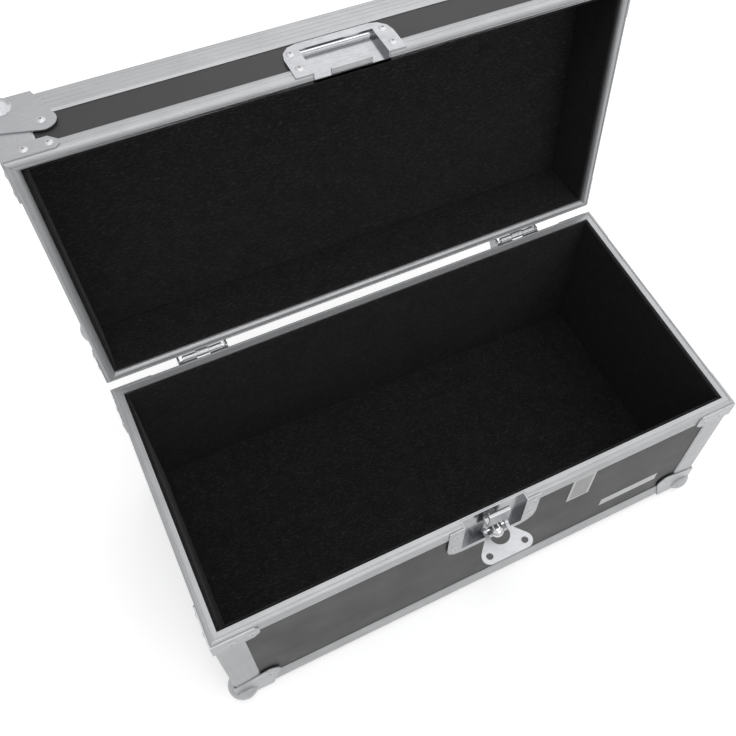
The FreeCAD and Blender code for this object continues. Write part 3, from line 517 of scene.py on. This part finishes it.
@dataclass
class RimExtrusion(EasedFitting):
    """A rim as its die draws it: a fine groove in its meeting face, and a rolled inner lip on the lid."""

    shut: Matrix = field(default_factory=lambda: Matrix.Identity(4))
    lip_mm: float = 0.0
    groove_in_mm: float = 3.3
    groove_mm: float = 1.5
    groove_deep_mm: float = 0.6

    def _form(self, shape: bmesh.types.BMesh) -> None:
        """Roll the lip and cut the groove, with the rim turned to the shut case, where it lies square.

        Args:
            shape: The rim.
        """
        shape.transform(self.shut)
        shape.normal_update()
        up = -1 if self.body == Half.LID.value else 1
        spots = [vert.co.copy() for vert in shape.verts]
        spans = [max(spot[axis] for spot in spots) - min(spot[axis] for spot in spots) for axis in (0, 1)]
        across = spans.index(min(spans))
        level = max(up * spot.z for spot in spots) - TOUCH
        outer = max((spot[across] for spot in spots), key=abs)
        if self.lip_mm:
            inner = min(abs(spot[across]) for spot in spots if up * spot.z > level) + TOUCH
            lip = [edge for edge in self._creases(shape)
                   if all(up * vert.co.z > level and abs(vert.co[across]) < inner for vert in edge.verts)]
            round_edges(shape, lip, self.lip_mm, self.corner_segments)
        self._groove(shape, across, outer, up)
        shape.transform(self.shut.inverted())
        shape.normal_update()

    def _groove(self, shape: bmesh.types.BMesh, across: int, outer: float, up: int) -> None:
        """Sink a strip of the meeting face.

        Args:
            shape: The rim, as in the shut case.
            across: The axis across the rim.
            outer: Where the rim's outer face lies on that axis.
            up: Which way the meeting face looks, 1 up or -1 down.
        """
        outwards = Vector((0, 0, 0))
        outwards[across] = math.copysign(1, outer)
        walls = [abs(outer) - MM * reach for reach in (self.groove_in_mm + self.groove_mm, self.groove_in_mm)]
        for wall in walls:
            bmesh.ops.bisect_plane(shape, geom=[*shape.verts, *shape.edges, *shape.faces], dist=SNAP,
                                   plane_co=outwards * wall, plane_no=outwards)
        level = max(up * vert.co.z for vert in shape.verts) - TOUCH
        strip = [f for f in shape.faces if all(up * vert.co.z > level for vert in f.verts)
                 and walls[0] < abs(f.calc_center_median()[across]) < walls[1]]
        border = {edge for f in strip for edge in f.edges}
        sunk = bmesh.ops.extrude_face_region(shape, geom=[*strip, *border])["geom"]
        bmesh.ops.translate(shape, vec=(0, 0, -up * MM * self.groove_deep_mm),
                            verts=[part for part in sunk if isinstance(part, bmesh.types.BMVert)])


@dataclass
class PopRivets:
    """The blind rivets of one half: a low dome with the hole that its mandrel left."""

    half: Half
    head_mm: float = 4.2
    rise_mm: float = 1.4
    hole_mm: float = 1.2
    hole_deep_mm: float = 1.3
    lip_mm: float = 0.25
    shank_mm: float = 1.6
    dome_steps: int = 5
    segments: int = 20

    def build(self, mesh: bpy.types.Mesh, shut: Matrix, material: bpy.types.Material) -> bpy.types.Object:
        """Spin one rivet for each solid of the CAD node, on the same seat.

        Args:
            mesh: The CAD node's mesh.
            shut: The turn that brings this half to the shut case.
            material: The finish.

        Returns:
            The rivets as one piece.
        """
        boxes = islands(mesh, shut)
        middle = sum(((low + high) / 2 for low, high in boxes), Vector()) / len(boxes)
        shape = bmesh.new()
        for low, high in boxes:
            size, centre = high - low, (low + high) / 2
            axis = min(range(3), key=lambda a: size[a])
            out = Vector((0, 0, 0))
            out[axis] = math.copysign(1, centre[axis] - middle[axis])
            apex = centre + out * size[axis] / 2
            facing = out.to_track_quat("Z", "Y").to_matrix().to_4x4()
            seat = Matrix.Translation(apex - out * MM * self.rise_mm) @ facing
            spin_outline(shape, self._outline(size[axis] - MM * self.rise_mm), self.segments, seat)
        shape.transform(shut.inverted())
        node = f"{self.half.value}_rivets"
        piece = add_piece(f"{node}_domed", shape, [material], self.half.value)
        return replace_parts(piece, node)

    def _outline(self, depth: float) -> list[tuple[float, float]]:
        """Work out one rivet's outline, from the bottom of its hole to the end of its shank.

        Args:
            depth: How far its shank goes below its seat, in metres.

        Returns:
            The (radius, height) points over its seat.
        """
        head, rise, hole, lip = (MM * v for v in (self.head_mm, self.rise_mm, self.hole_mm, self.lip_mm))
        crown = (head * head + rise * rise) / (2 * rise)
        start, reach = math.asin((hole + lip) / crown), math.asin(head / crown)
        floor = rise - MM * self.hole_deep_mm
        outline = [(0.0, floor), (hole, floor), (hole, rise - lip)]
        for i in range(self.dome_steps + 1):
            angle = start + (reach - start) * i / self.dome_steps
            outline.append((crown * math.sin(angle), rise - crown * (1 - math.cos(angle))))
        return outline + [(MM * self.shank_mm, 0.0), (MM * self.shank_mm, -depth), (0.0, -depth)]


@dataclass
class DomedSpindle:
    """The latch's turned spindle: a round-ended boss on a shaft that is headed over behind the dish."""

    node: str = "latch_spindle"
    boss_mm: float = 22.0
    shaft_mm: float = 4.0
    head_mm: float = 6.0
    head_thick_mm: float = 1.2
    dome_steps: int = 9
    segments: int = 40

    def build(self, material: bpy.types.Material) -> bpy.types.Object:
        """Spin the spindle about its own axis, which points out of the front panel.

        Args:
            material: The finish.

        Returns:
            The spindle.
        """
        low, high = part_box(self.node)
        radius, length = (high.x - low.x) / 2, high.y - low.y
        arc = [math.radians(90 * i / self.dome_steps) for i in range(self.dome_steps + 1)]
        outline = [(radius * math.sin(a), -radius * (1 - math.cos(a))) for a in arc]
        sizes = (self.boss_mm, self.shaft_mm, self.head_mm, self.head_thick_mm)
        boss, shaft, head, thick = (MM * size for size in sizes)
        outline += [(radius, -boss), (shaft, -boss), (shaft, thick - length), (head, thick - length),
                    (head, -length), (0.0, -length)]
        tip = Vector(((low.x + high.x) / 2, low.y, (low.z + high.z) / 2))
        seat = Matrix.Translation(tip) @ Vector((0, -1, 0)).to_track_quat("Z", "Y").to_matrix().to_4x4()
        shape = bmesh.new()
        spin_outline(shape, outline, self.segments, seat)
        piece = add_piece(f"{self.node}_domed", shape, [material], "spindle")
        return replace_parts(piece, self.node)


@dataclass
class FleeceSheet:
    """One sheet of foam-backed fleece glued inside the case: rolled edges and a slightly uneven face."""

    name: str
    body: str
    low: Vector
    high: Vector
    cell_mm: float = 12.0
    edge_mm: float = 1.3
    edge_segments: int = 3
    crisp_deg: float = 80.0
    wave_mm: float = 0.5
    wave_length_mm: float = 55.0

    def build(self, shut: Matrix, material: bpy.types.Material) -> bpy.types.Object:
        """Cut a block into cells, roll its edges and let its faces wander inside the CAD solid.

        Args:
            shut: The turn that brings this half to the shut case.
            material: The fleece.

        Returns:
            The sheet.
        """
        size, middle = self.high - self.low, (self.high + self.low) / 2
        shape = bmesh.new()
        bmesh.ops.create_cube(shape, size=1.0)
        bmesh.ops.scale(shape, vec=size, verts=shape.verts)
        thin = min(range(3), key=lambda axis: size[axis])
        for axis in range(3):
            if axis != thin:
                self._slice(shape, axis, size[axis])
        rims = [e for e in shape.edges if e.calc_face_angle() > math.radians(CREASE_DEG)]
        round_edges(shape, rims, self.edge_mm, self.edge_segments)
        for vert in shape.verts:
            spot = (vert.co + middle) / (MM * self.wave_length_mm)
            dip = MM * self.wave_mm * (0.5 + 0.5 * noise.fractal(spot, *WAVE))
            vert.co[thin] -= math.copysign(dip, vert.co[thin])
        bmesh.ops.translate(shape, vec=middle, verts=shape.verts)
        shape.transform(shut.inverted())
        piece = add_piece(self.name, shape, [material], self.body, sharp_deg=self.crisp_deg)
        return piece

    def _slice(self, shape: bmesh.types.BMesh, axis: int, length: float) -> None:
        """Cut the block across an axis into even cells.

        Args:
            shape: The block.
            axis: The axis to cut across.
            length: The block's length along it, in metres.
        """
        count = max(int(length / (MM * self.cell_mm)), 1)
        normal = Vector((0, 0, 0))
        normal[axis] = 1
        for i in range(1, count):
            everything = [*shape.verts, *shape.edges, *shape.faces]
            bmesh.ops.bisect_plane(shape, geom=everything, plane_co=normal * length * (i / count - 0.5),
                                   plane_no=normal)


@dataclass
class RibbedGrip:
    """The moulded rubber sleeve of the handle, with finger ribs round it."""

    node: str = "handle_grip"
    ribs: int = 9
    rib_mm: float = 0.9
    bore_mm: float = 3.6
    segments: int = 36
    # One rib, as shares of the pitch along it and of the depth below its crest
    profile: tuple[tuple[float, float], ...] = (
        (0.1, 1.0), (0.22, 0.2), (0.36, 0.0), (0.64, 0.0), (0.78, 0.2), (0.9, 1.0))

    def build(self, material: bpy.types.Material) -> bpy.types.Object:
        """Spin the ribbed outline round the rod, which lies along the case.

        Args:
            material: The rubber.

        Returns:
            The grip.
        """
        low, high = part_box(self.node)
        radius, half = (high.z - low.z) / 2, (high.x - low.x) / 2
        deep, bore = MM * self.rib_mm, MM * self.bore_mm
        slope, root = 2 * deep, radius - deep
        outline = [(bore, -half), (root - slope, -half), (root, slope - half)]
        start, pitch = 2 * slope - half, (2 * half - 4 * slope) / self.ribs
        for i in range(self.ribs):
            outline += [(radius - down * deep, start + (i + along) * pitch) for along, down in self.profile]
        outline += [(root, half - slope), (root - slope, half), (bore, half)]
        seat = Matrix.Translation((low + high) / 2) @ Matrix.Rotation(math.radians(90), 4, "Y")
        shape = bmesh.new()
        spin_outline(shape, outline, self.segments, seat, closed=True)
        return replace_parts(add_piece("handle_grip_ribbed", shape, [material], "handle"), self.node)


@dataclass
class BlankLabel:
    """A blank film label with a plain field of ink inside its margin."""

    node: str
    margin_mm: float
    edge_mm: float = 0.12
    edge_segments: int = 2

    def build(self, film: bpy.types.Material, ink: bpy.types.Material) -> bpy.types.Object:
        """Ease a block and inset its front face, which takes the ink.

        Args:
            film: The film.
            ink: The field's ink.

        Returns:
            The label.
        """
        low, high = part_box(self.node)
        shape = bmesh.new()
        bmesh.ops.create_cube(shape, size=1.0)
        bmesh.ops.scale(shape, vec=high - low, verts=shape.verts)
        bmesh.ops.translate(shape, vec=(low + high) / 2, verts=shape.verts)
        round_edges(shape, list(shape.edges), self.edge_mm, self.edge_segments)
        front = min(shape.faces, key=lambda face: face.calc_center_median().y)
        bmesh.ops.inset_region(shape, faces=[front], thickness=MM * self.margin_mm, use_even_offset=True)
        front.material_index = 1
        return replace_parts(add_piece(f"{self.node}_film", shape, [film, ink], "base"), self.node)


@dataclass
class Shell:
    """The aluminium frame of both halves and the panels in it."""

    edge_mm: float = 0.3
    lips_mm: dict[Half, float] = field(default_factory=lambda: {Half.BASE: 0.0, Half.LID: 4.0})
    grains: dict[str, Grain] = field(default_factory=lambda: {
        "base_front": Grain.LENGTH, "base_back": Grain.LENGTH, "base_posts": Grain.HEIGHT,
        "base_left": Grain.DEPTH, "base_right": Grain.DEPTH,
        "lid_front": Grain.LENGTH, "lid_back": Grain.LENGTH, "lid_posts": Grain.DEPTH,
        "lid_left": Grain.HEIGHT, "lid_right": Grain.HEIGHT})

    def build(self, nodes: Nodes, shut: Turns, wardrobe: Wardrobe) -> None:
        """Ease every extrusion, and give the rims their groove and lip.

        Args:
            nodes: The CAD nodes.
            shut: For each half, the turn that brings it to the shut case.
            wardrobe: The finishes.
        """
        for half in Half:
            body = half.value
            runs = {f"{body}_{kind}_{end}": f"{body}_{end}"
                    for end in ("front", "back", "left", "right") for kind in ("edge", "rim")}
            for node, run in (runs | {f"{body}_corner_posts": f"{body}_posts"}).items():
                if "_rim_" in node:
                    piece = RimExtrusion(node, body, "extrusion", self.edge_mm, segments=1,
                                         shut=shut[half], lip_mm=self.lips_mm[half])
                else:
                    piece = EasedFitting(node, body, "extrusion", self.edge_mm, segments=1)
                piece.build(nodes[node].data, wardrobe.extrusion[self.grains[run]])

    @staticmethod
    def dress(nodes: Nodes, wardrobe: Wardrobe) -> None:
        """Give the panels their laminate.

        Args:
            nodes: The CAD nodes.
            wardrobe: The finishes.
        """
        for name, node in nodes.items():
            if name.endswith("_panel"):
                node.data.materials.clear()
                node.data.materials.append(wardrobe.laminate)
                LOG.info("%s: laminate", name)


@dataclass
class Lining:
    """The fleece inside both halves."""

    flats: dict[Half, str] = field(default_factory=lambda: {
        Half.BASE: "base_floor_lining", Half.LID: "lid_top_lining"})

    def build(self, nodes: Nodes, shut: Turns, wardrobe: Wardrobe) -> None:
        """Make one sheet for each solid of the CAD lining nodes.

        Args:
            nodes: The CAD nodes.
            shut: For each half, the turn that brings it to the shut case.
            wardrobe: The finishes.
        """
        for half in Half:
            for node in (self.flats[half], f"{half.value}_wall_lining"):
                for number, (low, high) in enumerate(islands(nodes[node].data, shut[half]), start=1):
                    sheet = FleeceSheet(f"{node}_fleece_{number}", half.value, low, high)
                    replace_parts(sheet.build(shut[half], wardrobe.fleece), node)


@dataclass
class Fittings:
    """Ball corners, braces, hinges, latch, handle, feet and labels."""

    sheet_mm: float = 1.5
    leaf_mm: float = 2.0
    pins: tuple[str, ...] = ("foot_screws", "hinge_pins", "latch_wing_pin")
    dishes: dict[str, Half] = field(default_factory=lambda: {
        "latch_dish": Half.BASE, "keeper_dish": Half.LID})

    def build(self, nodes: Nodes, shut: Turns, wardrobe: Wardrobe) -> None:
        """Make every fitting in its finish.

        Args:
            nodes: The CAD nodes.
            shut: For each half, the turn that brings it to the shut case.
            wardrobe: The finishes.
        """
        for fitting in self._pressed():
            fitting.build(nodes[fitting.node].data, wardrobe.zinc)
        # The dishes take the zinc copy whose darker tone is painted shade for their recesses
        for dish, half in self.dishes.items():
            piece = EasedFitting(dish, half.value, "zinc_steel", edge_mm=0.4, corner_mm=5.0, sheet_mm=1.2)
            piece.build(nodes[dish].data, wardrobe.dish_zinc_darkened_as_shade)
        hook = EasedFitting("latch_hook", "hook", "bright_steel", edge_mm=0.35)
        hook.build(nodes[hook.node].data, wardrobe.zinc)
        wing = EasedFitting("latch_wing", "wing", "bright_steel", edge_mm=0.5, corner_mm=2.0, sheet_mm=2.0)
        wing.build(nodes[wing.node].data, wardrobe.zinc)
        feet = EasedFitting("rubber_feet", "base", "rubber", edge_mm=1.4, segments=4)
        feet.build(nodes[feet.node].data, wardrobe.rubber)
        for half in Half:
            PopRivets(half).build(nodes[f"{half.value}_rivets"].data, shut[half], wardrobe.satin_nickel)
        DomedSpindle().build(wardrobe.nickel)
        RibbedGrip().build(wardrobe.rubber)
        BlankLabel("front_badge", margin_mm=3.0).build(wardrobe.film, wardrobe.ink)
        BlankLabel("front_label", margin_mm=1.2).build(wardrobe.film, wardrobe.film)

    def _pressed(self) -> list[EasedFitting]:
        """Return the fittings that are pressed or bent from zinc-plated steel."""
        pressed = [EasedFitting("latch_keeper", "lid", "zinc_steel", edge_mm=0.4),
                   EasedFitting("handle_plate", "lid", "zinc_steel", edge_mm=0.4, corner_mm=4.0,
                                sheet_mm=1.4),
                   EasedFitting("handle_bail", "handle", "bail_steel", edge_mm=0.3)]
        for body in (half.value for half in Half):
            pressed += [EasedFitting(f"{body}_ball_corners", body, "zinc_steel", edge_mm=0.45, corner_mm=3.0,
                                     sheet_mm=self.sheet_mm),
                        EasedFitting(f"{body}_rim_braces", body, "zinc_steel", edge_mm=0.4, corner_mm=2.0,
                                     sheet_mm=self.sheet_mm)]
            pressed += [EasedFitting(f"hinge_{side.value}_{body}_leaf", body, "zinc_steel", edge_mm=0.4,
                                     corner_mm=3.0, sheet_mm=self.leaf_mm) for side in Side]
        return pressed

    def dress(self, nodes: Nodes, wardrobe: Wardrobe) -> None:
        """Give the pins and screws their nickel.

        Args:
            nodes: The CAD nodes.
            wardrobe: The finishes.
        """
        for name in self.pins:
            nodes[name].data.materials.clear()
            nodes[name].data.materials.append(wardrobe.nickel)
            LOG.info("%s: nickel", name)


@dataclass(frozen=True)
class Softbox:
    """A square soft lamp: where it hangs, its side and its power."""

    name: str
    place_m: tuple[float, float, float]
    side_m: float
    power_w: float


@dataclass
class Studio:
    """A pale floor, soft even light and the camera at the photograph's view."""

    camera_mm: tuple[float, float, float] = (-256.66, -425.59, 1068.51)
    camera_deg: tuple[float, float, float] = (31.385, -3.093, -27.229)
    focal_px: float = 915.06
    centre_px: tuple[float, float] = (440.0, 377.0)
    sensor_mm: float = 36.0
    floor_m: float = 12.0
    floor_colour: str = "#e8e8e8"
    sky_colour: str = "#fafafa"
    sky_strength: float = 0.34
    floor_lift: float = 0.55
    aim: tuple[float, float, float] = (0.0, 0.0, 0.2)
    lamps: tuple[Softbox, ...] = (
        Softbox("front_softbox", (0.7, -2.55, 1.87), side_m=1.4, power_w=20.0),
        Softbox("overhead_softbox", (0.9, 0.8, 2.4), side_m=3.4, power_w=36.0),
        Softbox("edge_softbox", (-0.2, -0.4, 2.6), side_m=0.6, power_w=7.0))

    def build(self) -> None:
        """Make the floor, the sky, the lamps and the camera."""
        self._floor()
        self._sky()
        for softbox in self.lamps:
            self._lamp(softbox)
        self._camera()
        bpy.context.scene.view_settings.view_transform = "Standard"

    def _floor(self) -> None:
        """Make the floor, a little brighter to the eye and to metal than to the light that it sends on."""
        shape = bmesh.new()
        bmesh.ops.create_grid(shape, x_segments=1, y_segments=1, size=self.floor_m / 2)
        mesh = bpy.data.meshes.new("floor")
        shape.to_mesh(mesh)
        shape.free()
        material, tree, _ = new_material("pale_matt_floor")
        seen = self._seen(tree)
        lift = add_node(tree, "ShaderNodeMath", {1: self.floor_lift}, {0: seen}, operation="MULTIPLY")
        glow = add_node(tree, "ShaderNodeEmission", {}, {"Strength": lift.outputs[0]})
        matt = add_node(tree, "ShaderNodeBsdfDiffuse", {"Color": linear(self.floor_colour)})
        both = add_node(tree, "ShaderNodeAddShader", {}, {0: matt.outputs[0], 1: glow.outputs[0]})
        close_material(tree, both)
        mesh.materials.append(material)
        floor = bpy.data.objects.new("floor", mesh)
        bpy.context.scene.collection.objects.link(floor)

    @staticmethod
    def _seen(tree: bpy.types.NodeTree) -> bpy.types.NodeSocket:
        """Return a socket that is 1 for the eye and for what metal shows, and 0 for the light sent on."""
        path = add_node(tree, "ShaderNodeLightPath")
        seen = path.outputs["Is Camera Ray"]
        for ray in ("Is Glossy Ray", "Is Transmission Ray"):
            both = add_node(tree, "ShaderNodeMath", {}, {0: seen, 1: path.outputs[ray]}, operation="MAXIMUM")
            seen = both.outputs[0]
        return seen

    def _sky(self) -> None:
        """Make the even light from all round, white to the eye."""
        world = bpy.data.worlds.new("studio_sky")
        world.use_nodes = True
        tree = world.node_tree
        tree.nodes.clear()
        strength = add_node(tree, "ShaderNodeMapRange", {"To Min": self.sky_strength, "To Max": 1.0},
                            {"Value": self._seen(tree)})
        light = add_node(tree, "ShaderNodeBackground", {"Color": linear(self.sky_colour)},
                         {"Strength": strength.outputs[0]})
        add_node(tree, "ShaderNodeOutputWorld", {}, {"Surface": light.outputs[0]})
        bpy.context.scene.world = world

    def _lamp(self, softbox: Softbox) -> None:
        """Hang one lamp that faces the case."""
        data = bpy.data.lights.new(softbox.name, "AREA")
        data.size, data.energy = softbox.side_m, softbox.power_w
        lamp = bpy.data.objects.new(softbox.name, data)
        lamp.location = softbox.place_m
        sight = Vector(self.aim) - Vector(softbox.place_m)
        lamp.rotation_euler = sight.to_track_quat("-Z", "Y").to_euler()
        bpy.context.scene.collection.objects.link(lamp)

    def _camera(self) -> None:
        """Make the camera that the case's straight edges in the photograph give."""
        data = bpy.data.cameras.new("photograph_view")
        data.sensor_width = self.sensor_mm
        data.lens = self.focal_px / PHOTO_SIDE * self.sensor_mm
        data.shift_x = 0.5 - self.centre_px[0] / PHOTO_SIDE
        data.shift_y = self.centre_px[1] / PHOTO_SIDE - 0.5
        camera = bpy.data.objects.new("photograph_view", data)
        camera.location = [MM * v for v in self.camera_mm]
        camera.rotation_euler = Euler([math.radians(a) for a in self.camera_deg])
        bpy.context.scene.collection.objects.link(camera)
        bpy.context.scene.camera = camera


def shut_turns(joints: list[dict]) -> Turns:
    """Find how each half turns from its rest place to the shut case.

    Args:
        joints: The frame's joints.

    Returns:
        A turn for the base, which stays, and one for the lid.
    """
    hinge = next(joint for joint in joints if joint["name"] == "lid_hinge")
    pivot = Matrix.Translation(hinge["pos_m"])
    swing = Matrix.Rotation(math.radians(hinge["range_deg"][1]), 4, Vector(hinge["axis"]))
    return {Half.BASE: Matrix.Identity(4), Half.LID: pivot @ swing @ pivot.inverted()}


def main() -> None:
    """Load the frame, build and dress every piece, and set up the studio."""
    logging.basicConfig(level=logging.INFO, format="%(message)s")
    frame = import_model()
    nodes, shut = frame["nodes"], shut_turns(frame["joints"])
    wardrobe = Wardrobe()
    shell, fittings = Shell(), Fittings()
    shell.build(nodes, shut, wardrobe)
    shell.dress(nodes, wardrobe)
    Lining().build(nodes, shut, wardrobe)
    fittings.build(nodes, shut, wardrobe)
    fittings.dress(nodes, wardrobe)
    Studio().build()


if __name__ == "__main__":
    main()
